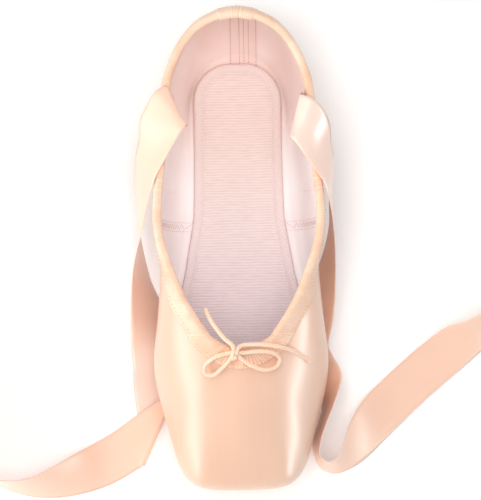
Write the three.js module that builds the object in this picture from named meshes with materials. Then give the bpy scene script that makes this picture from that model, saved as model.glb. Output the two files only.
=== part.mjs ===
import * as THREE from "three";
import { mergeVertices } from "three/addons/utils/BufferGeometryUtils.js";

// A satin pointe shoe, standing empty on its sole. Millimetres, +Z up, heel towards +Y, toe towards -Y.
// The origin is on the floor, at the middle of the shoe's length and width.
// The upper is one wall, open at the collar and underneath, where the outsole closes it.

// Driving dimensions of the last
const length = 241;
const ballWidth = 87.6;
const heelWidth = 72;
const quarterWidth = 82;
const platformWidth = 52;
const heelHeight = 56;
const instepHeight = 65.8;
const platformHeight = 34;
const throatAlong = 0.713 * length;
const collarRiseStart = 0.15;
const collarRiseEnd = 0.62;

// Driving dimensions of the sole
const archHeight = 14.5;
const soleStart = 0.1535 * length;
const heelRestEnd = 0.191 * length;
const foreRestStart = 0.83 * length;
const soleEnd = 0.882 * length;
const soleWidth = 55;
const soleThickness = 2.5;
const insoleThickness = 2;
const marginWidth = 5;

// Walls, gaps and low relief
const quarterWall = 1.6;
const boxWall = 2.8;
const boxWallStart = 0.68;
const boxWallEnd = 0.84;
const gap = 0.35;
const seamRise = 0.4;
const backSeamRise = 0.5;
const sideSeamAlong = 0.3714 * length;
const sideSeamWidth = 4.4;

// Tapes, ribbons and cord
const bindingWidth = 8.6;
const bindingInside = 6.5;
const bindingGap = 0.5;
const bindingThickness = 0.8;
const lapRise = 0.5;
const ribbonWidth = 22.5;
const ribbonThickness = 0.6;
const ribbonStepsPerRow = 2;
const cordWidth = 2.2;
const cordSides = 4;
const cordStepsPerPoint = 2;
const cordLook = { color: 0xf7c8ac, roughness: 0.6, metalness: 0 };
const mergeDistance = 1e-4;
const profileSteps = 160;

const ballHalf = ballWidth / 2;
const heelHalf = heelWidth / 2;
const quarterHalf = quarterWidth / 2;
const platformHalf = platformWidth / 2;
const soleHalf = soleWidth / 2;

// Heights along the shoe: along is the distance from the back of the heel
function clampShare(value) {
  return Math.min(1, Math.max(0, value));
}

function smoothShare(value, low, high) {
  const share = clampShare((value - low) / (high - low));
  return share * share * (3 - 2 * share);
}

// The arch is half a sine wave between the heel rest and the forefoot rest
function soleBottom(along) {
  const share = clampShare((along - heelRestEnd) / (foreRestStart - heelRestEnd));
  return archHeight * Math.sin(Math.PI * share);
}

function soleTop(along) {
  return soleBottom(along) + soleThickness;
}

// The height that the rise shares below are taken of: the collar behind, the vamp's ridge in front
function crest(along) {
  const riseShare = smoothShare(along, collarRiseStart * length, collarRiseEnd * length);
  const quarter = heelHeight + (instepHeight - heelHeight) * riseShare;
  const vamp = clampShare((along - throatAlong) / (length - throatAlong));
  return quarter + (platformHeight - quarter) * vamp;
}

// The wall is thicker where the box is hardened
function wallAt(along) {
  return quarterWall + (boxWall - quarterWall) * smoothShare(along, boxWallStart * length, boxWallEnd * length);
}

// The last's lines run round the shoe from the centre back to the centre of the toe.
// Columns: along as a share of the length, half width, rise as a share of the crest above the sole.
// The outlines of the two soles are flat and have no rise.
const soleOutline = [
  [soleStart / length, 0],
  [0.165, 0.3 * soleHalf],
  [0.19, 0.56 * soleHalf],
  [0.235, 0.72 * soleHalf],
  [0.3, 0.76 * soleHalf],
  [0.39, 0.69 * soleHalf],
  [0.48, 0.67 * soleHalf],
  [0.57, 0.78 * soleHalf],
  [0.65, 0.93 * soleHalf],
  [0.72, soleHalf],
  [0.785, 0.93 * soleHalf],
  [0.84, 0.7 * soleHalf],
  [0.87, 0.38 * soleHalf],
  [soleEnd / length, 0],
];

const underLine = [
  [0.095, 0, 0.012],
  [0.105, 0.3 * heelHalf, 0.012],
  [0.14, 0.52 * heelHalf, 0.018],
  [0.19, 0.655 * heelHalf, 0.03],
  [0.25, 0.68 * heelHalf, 0.06],
  [0.37, 0.57 * ballHalf, 0.066],
  [0.46, 0.6 * ballHalf, 0.066],
  [0.54, 0.67 * ballHalf, 0.062],
  [0.6, 0.745 * ballHalf, 0.056],
  [0.69, 0.775 * ballHalf, 0.045],
  [0.79, 0.73 * ballHalf, 0.02],
  [0.855, 0.6 * ballHalf, 0.012],
  [0.9, 0.42 * ballHalf, 0.01],
  [0.928, 0.2 * ballHalf, 0.01],
  [0.935, 0, 0.01],
];

const insoleLine = [
  [0.0955, 0],
  [0.101, 0.2 * heelHalf],
  [0.112, 0.37 * heelHalf],
  [0.128, 0.49 * heelHalf],
  [0.148, 0.575 * heelHalf],
  [0.17, 0.615 * heelHalf],
  [0.21, 0.62 * heelHalf],
  [0.3, 0.62 * heelHalf],
  [0.37, 0.515 * ballHalf],
  [0.44, 0.53 * ballHalf],
  [0.49, 0.58 * ballHalf],
  [0.54, 0.625 * ballHalf],
  [0.6, 0.695 * ballHalf],
  [0.69, 0.73 * ballHalf],
  [0.79, 0.685 * ballHalf],
  [0.855, 0.555 * ballHalf],
  [0.9, 0.36 * ballHalf],
  [0.915, 0.18 * ballHalf],
  [0.92, 0],
];

const lowLine = [
  [0.047, 0, 0.13],
  [0.062, 0.36 * heelHalf, 0.13],
  [0.1, 0.62 * heelHalf, 0.13],
  [0.165, 0.78 * heelHalf, 0.14],
  [0.25, 0.81 * heelHalf, 0.15],
  [0.37, 0.72 * ballHalf, 0.16],
  [0.46, 0.75 * ballHalf, 0.165],
  [0.54, 0.81 * ballHalf, 0.16],
  [0.64, 0.885 * ballHalf, 0.14],
  [0.72, 0.95 * ballHalf, 0.125],
  [0.79, 0.91 * ballHalf, 0.11],
  [0.85, 0.83 * ballHalf, 0.1],
  [0.905, 0.72 * ballHalf, 0.1],
  [0.948, platformHalf, 0.11],
  [0.967, 0.55 * platformHalf, 0.11],
  [0.971, 0, 0.11],
];

const wideLine = [
  [0.008, 0, 0.44],
  [0.03, 0.42 * heelHalf, 0.44],
  [0.08, 0.71 * heelHalf, 0.43],
  [0.165, 0.9 * heelHalf, 0.4],
  [0.25, 0.92 * heelHalf, 0.39],
  [0.37, 0.83 * ballHalf, 0.4],
  [0.46, 0.855 * ballHalf, 0.4],
  [0.54, 0.885 * ballHalf, 0.38],
  [0.64, 0.945 * ballHalf, 0.35],
  [0.73, ballHalf, 0.33],
  [0.785, 0.97 * ballHalf, 0.34],
  [0.845, 0.89 * ballHalf, 0.4],
  [0.9, 0.805 * ballHalf, 0.5],
  [0.948, 0.73 * ballHalf, 0.58],
  [0.978, 1.045 * platformHalf, 0.63],
  [0.994, 0.78 * platformHalf, 0.66],
  [0.999, 0.38 * platformHalf, 0.67],
  [1, 0, 0.67],
];

const topLine = [
  [0, 0, 0.68],
  [0.022, 0.46 * heelHalf, 0.68],
  [0.075, 0.76 * heelHalf, 0.67],
  [0.16, 0.96 * heelHalf, 0.66],
  [0.25, 0.98 * heelHalf, 0.66],
  [0.37, 0.94 * quarterHalf, 0.67],
  [0.46, 0.97 * quarterHalf, 0.64],
  [0.54, 0.895 * ballHalf, 0.63],
  [0.64, 0.91 * ballHalf, 0.6],
  [0.73, 0.925 * ballHalf, 0.57],
  [0.79, 0.865 * ballHalf, 0.61],
  [0.85, 0.78 * ballHalf, 0.68],
  [0.905, 0.71 * ballHalf, 0.77],
  [0.948, 0.62 * ballHalf, 0.86],
  [0.975, 0.9 * platformHalf, 0.93],
  [0.987, 0.55 * platformHalf, 0.96],
  [0.99, 0, 0.97],
];

const shoulderLine = [
  [0.007, 0, 0.86],
  [0.026, 0.46 * heelHalf, 0.86],
  [0.075, 0.765 * heelHalf, 0.86],
  [0.16, 0.985 * heelHalf, 0.85],
  [0.25, 1.03 * heelHalf, 0.85],
  [0.37, 0.98 * quarterHalf, 0.85],
  [0.46, quarterHalf, 0.84],
  [0.54, 0.86 * ballHalf, 0.84],
  [0.64, 0.79 * ballHalf, 0.82],
  [0.7, 0.73 * ballHalf, 0.81],
  [0.76, 0.65 * ballHalf, 0.84],
  [0.815, 0.52 * ballHalf, 0.93],
  [0.855, 0.33 * ballHalf, 0.99],
  [0.875, 0.16 * ballHalf, 1.02],
  [0.88, 0, 1.03],
];

const collarLine = [
  [0.015, 0, 1],
  [0.031, 0.43 * heelHalf, 1],
  [0.075, 0.755 * heelHalf, 0.985],
  [0.16, heelHalf, 0.975],
  [0.25, 1.06 * heelHalf, 0.965],
  [0.34, 0.96 * quarterHalf, 0.965],
  [0.42, quarterHalf, 0.99],
  [0.47, 0.985 * quarterHalf, 1],
  [0.51, 0.875 * ballHalf, 1],
  [0.56, 0.765 * ballHalf, 1.005],
  [0.6, 0.675 * ballHalf, 1],
  [0.635, 0.565 * ballHalf, 1],
  [0.665, 0.45 * ballHalf, 1],
  [0.688, 0.36 * ballHalf, 0.998],
  [0.704, 0.22 * ballHalf, 0.995],
  [throatAlong / length, 0, 0.985],
];

// A station is a half plane that stands on the floor: it starts on the centre line and cuts each line once.
// The stations fan round the heel and the toe and are square to the length in between.
const backCentre = 0.25 * length;
const toeCentre = 0.675 * length;
const backSeamDegrees = [0, 1.4, 2.2];
const backLapDegrees = [8.6, 9.8];
const backFanDegrees = [...backSeamDegrees, ...backLapDegrees, 18, 27, 37, 48, 60, 75];
const toeFanDegrees = [80, 70, 60, 50, 42, 35, 29, 24, 20, 16, 11, 5.5, 0];
const sideStationShares = [0, 0.09, 0.18, 0.4, 0.49, 0.58, 0.67, 0.76, 0.85, 0.93, 1];
const seamStep = 0.25;

function fanStation(centre, forward, degrees) {
  const angle = THREE.MathUtils.degToRad(degrees);
  return { start: centre, along: forward * Math.cos(angle), across: Math.sin(angle), ridge: 0, degrees };
}

function sideStation(along, ridge) {
  return { start: along, along: 0, across: 1, ridge, degrees: 90 };
}

function halfStations() {
  const back = backFanDegrees.map((degrees) => fanStation(backCentre, -1, degrees));
  back[0].ridge = backSeamRise;
  back[1].ridge = backSeamRise;
  const sides = sideStationShares.map((share) => sideStation(backCentre + share * (toeCentre - backCentre), 0));
  const seamHalf = sideSeamWidth / 2;
  for (const side of [-1, 1]) {
    sides.push(sideStation(sideSeamAlong + side * (seamHalf - seamStep), seamRise));
    sides.push(sideStation(sideSeamAlong + side * (seamHalf + seamStep), 0));
  }
  sides.sort((first, second) => first.start - second.start);
  const toe = toeFanDegrees.map((degrees) => fanStation(toeCentre, 1, degrees));
  return [...back, ...sides, ...toe];
}

// A line as a closed curve round the shoe: x is the half width, y the place along, z the height
const curveSteps = 600;

function roundCurve(points) {
  const mirrored = points.slice(1, -1).reverse().map((point) => new THREE.Vector3(-point.x, point.y, point.z));
  const curve = new THREE.CatmullRomCurve3([...points, ...mirrored], true, "centripetal");
  return curve.getPoints(curveSteps);
}

function lastCurve(table) {
  return roundCurve(table.map(([share, half, rise]) => {
    const along = share * length;
    const bottom = soleBottom(along);
    return new THREE.Vector3(half, along, bottom + rise * (crest(along) - bottom));
  }));
}

// Where a station's half plane cuts a curve
function cut(curve, station) {
  const side = (point) => station.along * point.x - station.across * (point.y - station.start);
  const reach = (point) => station.across * point.x + station.along * (point.y - station.start);
  for (let index = 0; index < curve.length - 1; index += 1) {
    const from = side(curve[index]);
    const to = side(curve[index + 1]);
    if ((from > 0) !== (to > 0)) {
      const point = curve[index].clone().lerp(curve[index + 1], from / (from - to));
      if (reach(point) > 0) {
        return point;
      }
    }
  }
  throw new Error("A station misses a line");
}

// The same outline moved outwards by a distance, square to itself
function movedCurve(curve, distance) {
  const last = curve.length - 1;
  return curve.map((point, index) => {
    const before = curve[index === 0 ? last - 1 : index - 1];
    const after = curve[index === last ? 1 : index + 1];
    const run = new THREE.Vector3(after.x - before.x, after.y - before.y, 0).normalize();
    return new THREE.Vector3(point.x + run.y * distance, point.y - run.x * distance, point.z);
  });
}

function onHeight(point, height) {
  return new THREE.Vector3(point.x, point.y, height(point.y));
}

function flatCurve(table) {
  return roundCurve(table.map(([share, half]) => new THREE.Vector3(half, share * length, 0)));
}

const soleCurve = flatCurve(soleOutline);
const marginCurve = movedCurve(soleCurve, -marginWidth);
const featherCurve = movedCurve(soleCurve, gap);
const lastCurves = [underLine, lowLine, wideLine, topLine, shoulderLine, collarLine].map(lastCurve);

// A profile runs down one station from the collar to the margin under the foot, in the shoe's own frame
function profileCurve(station) {
  const points = lastCurves.map((curve) => cut(curve, station)).reverse();
  points.push(onHeight(cut(featherCurve, station), (along) => soleTop(along) + gap));
  points.push(onHeight(cut(marginCurve, station), (along) => soleTop(along) + gap));
  const placed = points.map((point) => new THREE.Vector3(point.x, length / 2 - point.y, point.z));
  return new THREE.CatmullRomCurve3(placed, false, "centripetal");
}

// Grid rows in each span between two lines, and the spans that the seams' relief covers
const rowsPerSpan = [4, 4, 4, 4, 4, 2, 2];
const seamTopSpan = 1.4;
const seamEndSpan = 5;

function profileShares() {
  const shares = [0];
  rowsPerSpan.forEach((rows, span) => {
    for (let row = 1; row <= rows; row += 1) {
      shares.push((span + row / rows) / rowsPerSpan.length);
    }
  });
  return shares;
}

function mirrorX(point) {
  return new THREE.Vector3(-point.x, point.y, point.z);
}

// A ring of stations: the right half from heel to toe, then the left half back to the heel
const stations = halfStations();
const profiles = stations.map(profileCurve);
const ringCount = 2 * (stations.length - 1);

function stationIndex(ringIndex) {
  const index = ((ringIndex % ringCount) + ringCount) % ringCount;
  return index < stations.length ? index : ringCount - index;
}

function fullRing(halfPoints) {
  return Array.from({ length: ringCount }, (_, index) => {
    const point = halfPoints[stationIndex(index)];
    return index < stations.length ? point : mirrorX(point);
  });
}

// Outward normals of a grid of rings
function gridNormals(rings) {
  const lastRow = rings.length - 1;
  return rings.map((ring, row) => ring.map((_, index) => {
    const around = ring[(index + 1) % ringCount].clone().sub(ring[(index + ringCount - 1) % ringCount]);
    const down = rings[Math.min(row + 1, lastRow)][index].clone().sub(rings[Math.max(row - 1, 0)][index]);
    return around.cross(down).normalize();
  }));
}

// A closed body from its corners and triangles, turned so that its faces point out
function body(name, corners, triangles, look) {
  const volume = triangles.reduce((sum, [a, b, c]) => {
    return sum + corners[a].dot(corners[b].clone().cross(corners[c]));
  }, 0);
  const geometry = new THREE.BufferGeometry();
  const turned = volume < 0 ? triangles.map(([a, b, c]) => [a, c, b]) : triangles;
  geometry.setAttribute("position", new THREE.Float32BufferAttribute(corners.flatMap((p) => [p.x, p.y, p.z]), 3));
  geometry.setIndex(turned.flat());
  geometry.computeVertexNormals();
  const mesh = new THREE.Mesh(geometry, new THREE.MeshStandardMaterial(look));
  mesh.name = name;
  return mesh;
}

// Rings that close on each other like a tyre
function ringBody(name, rings, look) {
  const count = rings[0].length;
  const triangles = [];
  rings.forEach((_, row) => {
    const next = (row + 1) % rings.length;
    for (let index = 0; index < count; index += 1) {
      const after = (index + 1) % count;
      const corner = [row * count + index, row * count + after, next * count + after, next * count + index];
      triangles.push([corner[0], corner[1], corner[2]], [corner[0], corner[2], corner[3]]);
    }
  });
  return body(name, rings.flat(), triangles, look);
}

// A bent plate from rows across it, each row running from edge to edge
function plateBody(name, topRows, bottomRows, look) {
  const across = topRows[0].length;
  const rows = topRows.length;
  const corners = [...topRows.flat(), ...bottomRows.flat()];
  const top = (row, column) => row * across + column;
  const bottom = (row, column) => rows * across + row * across + column;
  const triangles = [];
  const quad = (a, b, c, d) => triangles.push([a, b, c], [a, c, d]);
  for (let row = 0; row < rows - 1; row += 1) {
    for (let column = 0; column < across - 1; column += 1) {
      quad(top(row, column), top(row, column + 1), top(row + 1, column + 1), top(row + 1, column));
      quad(bottom(row, column), bottom(row + 1, column), bottom(row + 1, column + 1), bottom(row, column + 1));
    }
    quad(bottom(row, 0), top(row, 0), top(row + 1, 0), bottom(row + 1, 0));
    const edge = across - 1;
    quad(top(row, edge), bottom(row, edge), bottom(row + 1, edge), top(row + 1, edge));
  }
  for (let column = 0; column < across - 1; column += 1) {
    const end = rows - 1;
    quad(top(0, column), bottom(0, column), bottom(0, column + 1), top(0, column + 1));
    quad(top(end, column), top(end, column + 1), bottom(end, column + 1), bottom(end, column));
  }
  return body(name, corners, triangles, look);
}

// Upper: the outer skin follows the last's lines, the inner skin lies one wall inside it
const satin = { color: 0xf5cdb0, roughness: 0.45, metalness: 0 };

function upper() {
  const shares = profileShares();
  const outer = shares.map((share) => fullRing(profiles.map((profile) => profile.getPoint(share))));
  const normals = gridNormals(outer);
  const seamRows = outer.map((ring, row) => {
    const share = shares[row] * rowsPerSpan.length;
    return share > seamTopSpan && share < seamEndSpan;
  });
  const inner = [];
  const relief = outer.map((ring, row) => ring.map((point, index) => {
    const ridge = seamRows[row] ? stations[stationIndex(index)].ridge : 0;
    return point.clone().addScaledVector(normals[row][index], ridge);
  }));
  for (let row = outer.length - 1; row >= 0; row -= 2) {
    inner.push(outer[row].map((point, index) => {
      return point.clone().addScaledVector(normals[row][index], -wallAt(length / 2 - point.y));
    }));
  }
  return ringBody("upper", [...relief, ...inner], satin);
}

// Soles: bent plates with a row for each place along them
const soleRows = 34;
const endShare = 0.006;
const plateColumns = [-1, -0.6, 0, 0.6, 1];
const insoleSeat = 1.05;

function halfWidthAt(curve, along) {
  return cut(curve, sideStation(along, 0)).x;
}

function solePlate(name, curve, from, to, low, high, look) {
  const places = Array.from({ length: soleRows + 1 }, (_, row) => {
    const share = endShare + (1 - 2 * endShare) * (0.5 - 0.5 * Math.cos((Math.PI * row) / soleRows));
    return from + share * (to - from);
  });
  const rowAt = (along, height) => plateColumns.map((share) => {
    return new THREE.Vector3(share * halfWidthAt(curve, along), length / 2 - along, height(along));
  });
  return plateBody(name, places.map((along) => rowAt(along, high)), places.map((along) => rowAt(along, low)), look);
}

function outsole() {
  const leather = { color: 0xe0a078, roughness: 0.75, metalness: 0 };
  return solePlate("outsole", soleCurve, soleStart, soleEnd, soleBottom, soleTop, leather);
}

function insole() {
  const cloth = { color: 0xf0dcd8, roughness: 0.9, metalness: 0 };
  const curve = flatCurve(insoleLine);
  const seat = (along) => soleTop(along) + wallAt(along) + insoleSeat;
  const places = curve.map((point) => point.y);
  return solePlate("insole", curve, Math.min(...places), Math.max(...places), seat,
    (along) => seat(along) + insoleThickness, cloth);
}

// Binding: a tape folded over the collar, so its section is a U that stays clear of the wall
function pointDown(profile, distance) {
  const points = profile.getPoints(profileSteps);
  let left = distance;
  for (let index = 1; index < points.length; index += 1) {
    const span = points[index].distanceTo(points[index - 1]);
    if (span >= left) {
      return points[index - 1].clone().lerp(points[index], left / span);
    }
    left -= span;
  }
  throw new Error("The profile is shorter than the distance");
}

const skinStep = 1;
const rollShare = 1.2;

function skinRing(distance) {
  return fullRing(profiles.map((profile) => pointDown(profile, distance)));
}

function binding() {
  const ribbedTape = { color: 0xf5cda6, roughness: 0.7, metalness: 0 };
  const edge = skinRing(0);
  const below = skinRing(skinStep);
  const thickness = edge.map((_, index) => {
    const lapped = stations[stationIndex(index)].degrees <= backLapDegrees[0];
    return bindingThickness + (lapped ? lapRise : 0);
  });
  const wall = edge.map((point) => wallAt(length / 2 - point.y));
  const ring = (distance, outward, upward) => {
    const skin = skinRing(distance);
    const normals = gridNormals([skin, skinRing(distance + skinStep)])[0];
    return skin.map((point, index) => {
      const up = edge[index].clone().sub(below[index]).normalize();
      return point.clone()
        .addScaledVector(normals[index], outward(thickness[index], wall[index]))
        .addScaledVector(up, upward(thickness[index]));
    });
  };
  const level = () => 0;
  const clear = () => bindingGap;
  const outside = (tape) => bindingGap + tape;
  const inside = (tape, shell) => -shell - bindingGap - tape;
  const lining = (tape, shell) => -shell - bindingGap;
  return ringBody("binding", [
    ring(bindingWidth, clear, level),
    ring(bindingWidth, outside, level),
    ring(bindingWidth / 2, outside, level),
    ring(0, outside, level),
    ring(0, (tape, shell) => -shell / 2, (tape) => bindingGap + rollShare * tape),
    ring(0, inside, level),
    ring(bindingInside / 2, inside, level),
    ring(bindingInside, inside, level),
    ring(bindingInside, lining, level),
    ring(bindingInside / 2, lining, level),
    ring(0, lining, clear),
    ring(0, clear, clear),
    ring(bindingWidth / 2, clear, level),
  ], ribbedTape);
}

// Ribbons: a flat satin strip laid along a route chosen by hand for a shoe of these sizes
const laidLength = 241;
const laidBallWidth = 87.6;
const laidInstepHeight = 65.8;

// Columns: right of the centre line, along from the back of the heel, height, then the way across the strip.
// A last 1 marks a row at a fold, where the way across is half the strip's own slanting edge in millimetres.
const leftRibbonRoute = [
  [-30.6, 50, 34, -0.1, 1, 0],
  [-31.6, 50, 43, -0.1, 1, 0],
  [-31.4, 50, 51, -0.08, 1, 0],
  [-30, 50.5, 57.5, 0.34, 0.94, 0],
  [-30, 50.8, 61.5, 0.44, 0.9, 0],
  [-32.5, 52, 64.6, 0.5, 0.86, 0.1],
  [-35.8, 56.5, 64.4, 0.66, 0.72, 0.22],
  [-39.5, 63, 61.8, 0.8, 0.45, 0.39],
  [-42.5, 71.5, 57.4, 0.62, 0.4, 0.67],
  [-46, 80, 53, 0.5, 0.27, 0.82],
  [-48.8, 92, 43, 0.3, 0.2, 0.93],
  [-49.8, 102, 33, 0.17, 0.15, 0.97],
  [-51, 113, 24.8, 0, 0.12, 1],
  [-51.2, 126, 17.4, -0.24, 0.08, 0.97],
  [-50, 139, 12.4, -0.46, 0.05, 0.885],
  [-48, 149, 9.8, -0.68, 0.03, 0.73],
  [-45.7, 159, 6.6, -0.87, 0, 0.49],
  [-44.6, 169, 2.9, -0.985, 0, 0.17],
  [-44, 178, 0.8, -1, 0, 0],
  [-43.9, 186.2, 0.9, -11.2, 1.2, 0, 1],
  [-43, 194.1, 0.8, -10.5, 7.9, 0, 1],
  [-42.2, 201.1, 0.8, -9.7, 14.6, 0, 1],
  [-41.6, 207, 0.9, -9.2, 20.1, 0, 1],
  [-40.8, 208.3, 1.8, -9.2, 20.1, 0, 1],
  [-41.8, 207.9, 2.8, -9.2, 20.1, 0, 1],
  [-47.2, 212, 2.6, -4.7, 16.9, 0, 1],
  [-53, 216, 2.1, 0.9, 13.1, 0, 1],
  [-59.5, 220.5, 1.8, 6.4, 9.2, 0, 1],
  [-71, 227, 2.2, 0.5, 0.84, -0.12],
  [-83.5, 232, 6, 0.38, 0.75, -0.45],
  [-96, 236, 9.1, 0.25, 0.6, -0.72],
  [-108.5, 238, 10.9, 0.1, 0.4, -0.9],
  [-121, 236.5, 11.7, 0, 0.2, -0.98],
  [-132, 230, 11.8, -0.05, 0, -1],
  [-138.5, 219.5, 11.8, -0.1, 0, -1],
  [-141.5, 206, 11.2, -0.3, 0, -0.95],
  [-142.3, 191, 8.7, -0.7, 0, -0.7],
  [-141, 176, 3.6, -0.95, 0, -0.27],
  [-139, 161, 0.8, -1, 0, 0],
  [-136, 147, 0.8, -1, 0, 0],
];

const rightRibbonRoute = [
  [31.6, 55, 34, 0, 1, 0],
  [32.4, 55, 44, 0, 1, 0],
  [32.2, 55, 52, 0, 1, 0],
  [29.5, 56.5, 58, -0.22, 0.97, 0],
  [28.6, 57, 61.8, -0.22, 0.97, 0],
  [31, 58, 65, -0.22, 0.97, 0.05],
  [34.5, 61, 65, -0.35, 0.92, 0.15],
  [38, 67, 62.6, -0.5, 0.75, 0.35],
  [41, 75, 59, -0.45, 0.5, 0.7],
  [44.8, 83, 54.8, -0.3, 0.3, 0.9],
  [46, 93, 46.7, -0.08, 0.25, 0.96],
  [46.2, 104, 38, 0.05, 0.3, 0.95],
  [46.6, 115, 29.5, 0.1, 0.3, 0.94],
  [45.4, 127, 21.5, 0.25, 0.25, 0.92],
  [42.6, 140, 14.4, 0.5, 0.15, 0.85],
  [38.8, 152, 9.2, 0.75, 0.1, 0.65],
  [34.4, 163, 5, 0.93, 0.05, 0.34],
  [34, 172, 3.4, 0.97, 0, 0.22],
  [37.6, 180.5, 4.6, 0.94, -0.1, 0.32],
  [43.2, 189, 8.6, 0.74, -0.2, 0.66],
  [43.8, 198, 11.4, 0.28, 0, 0.96],
  [40.6, 208, 11.8, 0.16, 0, 0.98],
  [37.4, 217.5, 11.8, 0.16, 0, 0.98],
  [37.8, 224.5, 12, 0.08, -0.05, 1],
  [41.3, 229.3, 12, 0.05, -0.2, 1],
  [47.2, 229.6, 11.8, -0.05, -0.35, 0.95],
  [53.3, 225, 10.4, -0.2, -0.55, 0.83],
  [58.5, 218.5, 8.2, -0.4, -0.7, 0.62],
  [64, 211, 5.2, -0.55, -0.75, 0.38],
  [71, 203, 2.4, -0.68, -0.7, 0.12],
  [79.5, 195, 0.9, -0.74, -0.67, 0],
  [89.5, 186, 0.9, -0.74, -0.67, 0],
  [100, 177.3, 1.8, -0.7, -0.66, 0.08],
  [111, 168.8, 5, -0.6, -0.7, 0.36],
  [122, 162, 8.8, -0.6, -0.4, 0.7],
  [132, 151, 11.1, -0.35, -0.2, 0.93],
  [138, 137, 11, -0.4, 0, 0.9],
  [140.5, 122, 7.7, -0.8, 0, 0.6],
  [141, 106, 2.6, -0.98, 0, 0.17],
  [140, 92, 0.8, -1, 0, 0],
  [138.5, 78, 0.8, -1, 0, 0],
];

function onShoe(right, along, height) {
  return new THREE.Vector3(
    right * (ballWidth / laidBallWidth),
    length / 2 - along * (length / laidLength),
    height * (instepHeight / laidInstepHeight),
  );
}

function ribbon(name, route) {
  const centres = new THREE.CatmullRomCurve3(route.map(([x, s, z]) => onShoe(x, s, z)), false, "centripetal");
  const halves = route.map(([, , , x, s, z, atFold], row) => {
    const way = new THREE.Vector3(x, -s, z);
    const run = centres.getTangent(row / (route.length - 1));
    return atFold ? way : way.addScaledVector(run, -way.dot(run)).setLength(ribbonWidth / 2);
  });
  const edgeCurve = (side) => new THREE.CatmullRomCurve3(
    route.map(([x, s, z], row) => onShoe(x, s, z).addScaledVector(halves[row], side)), false, "centripetal");
  const steps = ribbonStepsPerRow * (route.length - 1);
  const [outer, inner] = [-1, 1].map((side) => edgeCurve(side).getPoints(steps));
  const sections = outer.map((point, step) => {
    const across = inner[step].clone().sub(point);
    const middle = (points, index) => points[Math.min(steps, Math.max(0, index))];
    const run = middle(outer, step + 1).clone().add(middle(inner, step + 1))
      .sub(middle(outer, step - 1)).sub(middle(inner, step - 1));
    const thick = run.cross(across).setLength(ribbonThickness / 2);
    return [point, inner[step]].map((corner) => [1, -1].map((side) => corner.clone().addScaledVector(thick, side)));
  });
  const faces = [0, 1].map((side) => sections.map(([start, end]) => [start[side], end[side]]));
  return plateBody(name, faces[0], faces[1], { color: 0xf7d2b6, roughness: 0.35, metalness: 0 });
}

// Drawstring bow: cords along routes chosen by hand, with the columns right, along and height
const bowRoutes = {
  bow_loop_left: [[-7.2, 173.2, 67.5], [-10.4, 173.9, 67.4], [-14.5, 175.9, 65.7], [-17.8, 179, 62.5],
    [-17.6, 182.8, 60.8], [-14, 183.6, 61.4], [-10, 180.8, 63.5], [-6.2, 177, 66]],
  bow_loop_right: [[1.4, 173, 68], [5, 172.5, 68.1], [10.5, 172.3, 67.7], [15.8, 173.2, 65.6], [19, 176.2, 62.1],
    [17.4, 179.6, 60.9], [12.2, 181.4, 62.8], [7, 180, 64.7], [1.6, 177, 66.3]],
  bow_end_left: [[-4.4, 169, 68.6], [-7.4, 166.4, 68.4], [-10.6, 162.6, 67.6], [-13.6, 158.4, 66.2], [-15.8, 154.4, 64.5],
    [-17.4, 150.4, 62.4]],
  bow_end_right: [[0.4, 169.4, 69.3], [4, 169, 69.6], [10, 169, 69.4], [17, 169.8, 67.9], [24, 171.6, 63.2],
    [30, 174.6, 57.2], [35.4, 178.4, 50.6]],
};
const knotPlace = [-2.9, 172.6, 69];
const knotRadius = 1.25 * cordWidth;
const knotShares = [1.25, 1, 0.8];
const knotSides = [14, 10];

function bowCord(name, route) {
  const path = new THREE.CatmullRomCurve3(route.map(([x, s, z]) => onShoe(x, s, z)), false, "centripetal");
  const section = new THREE.Shape();
  section.absarc(0, 0, cordWidth / 2, 0, 2 * Math.PI, false);
  const tube = new THREE.ExtrudeGeometry(section, {
    steps: cordStepsPerPoint * route.length, curveSegments: cordSides, bevelEnabled: false, extrudePath: path,
  });
  tube.deleteAttribute("normal");
  tube.deleteAttribute("uv");
  const mesh = new THREE.Mesh(mergeVertices(tube, mergeDistance), new THREE.MeshStandardMaterial(cordLook));
  mesh.name = name;
  return mesh;
}

function bowKnot() {
  const ball = new THREE.SphereGeometry(knotRadius, ...knotSides);
  ball.deleteAttribute("normal");
  ball.deleteAttribute("uv");
  const knot = mergeVertices(ball, mergeDistance).scale(...knotShares);
  const mesh = new THREE.Mesh(knot, new THREE.MeshStandardMaterial(cordLook));
  mesh.position.copy(onShoe(...knotPlace));
  mesh.name = "bow_knot";
  return mesh;
}

const group = new THREE.Group();
group.add(outsole(), upper(), insole(), binding());
group.add(ribbon("ribbon_left", leftRibbonRoute), ribbon("ribbon_right", rightRibbonRoute));
group.add(bowKnot(), ...Object.entries(bowRoutes).map(([name, route]) => bowCord(name, route)));

export default group;
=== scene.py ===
import math

import bmesh
import bpy
import numpy as np
from mathutils import Matrix, Vector
from mathutils.bvhtree import BVHTree


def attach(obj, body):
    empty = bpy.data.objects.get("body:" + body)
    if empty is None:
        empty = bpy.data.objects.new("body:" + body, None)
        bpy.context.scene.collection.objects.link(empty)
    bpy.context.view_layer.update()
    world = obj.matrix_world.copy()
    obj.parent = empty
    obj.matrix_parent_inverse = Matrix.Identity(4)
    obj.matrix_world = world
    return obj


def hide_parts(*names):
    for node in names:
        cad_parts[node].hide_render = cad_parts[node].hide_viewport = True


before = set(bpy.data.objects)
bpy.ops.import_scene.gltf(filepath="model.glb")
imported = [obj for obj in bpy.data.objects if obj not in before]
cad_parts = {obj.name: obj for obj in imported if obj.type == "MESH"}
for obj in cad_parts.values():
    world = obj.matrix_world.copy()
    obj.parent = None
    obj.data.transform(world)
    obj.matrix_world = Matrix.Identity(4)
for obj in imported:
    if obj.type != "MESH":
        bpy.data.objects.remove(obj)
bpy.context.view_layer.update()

MM = 0.001


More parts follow.
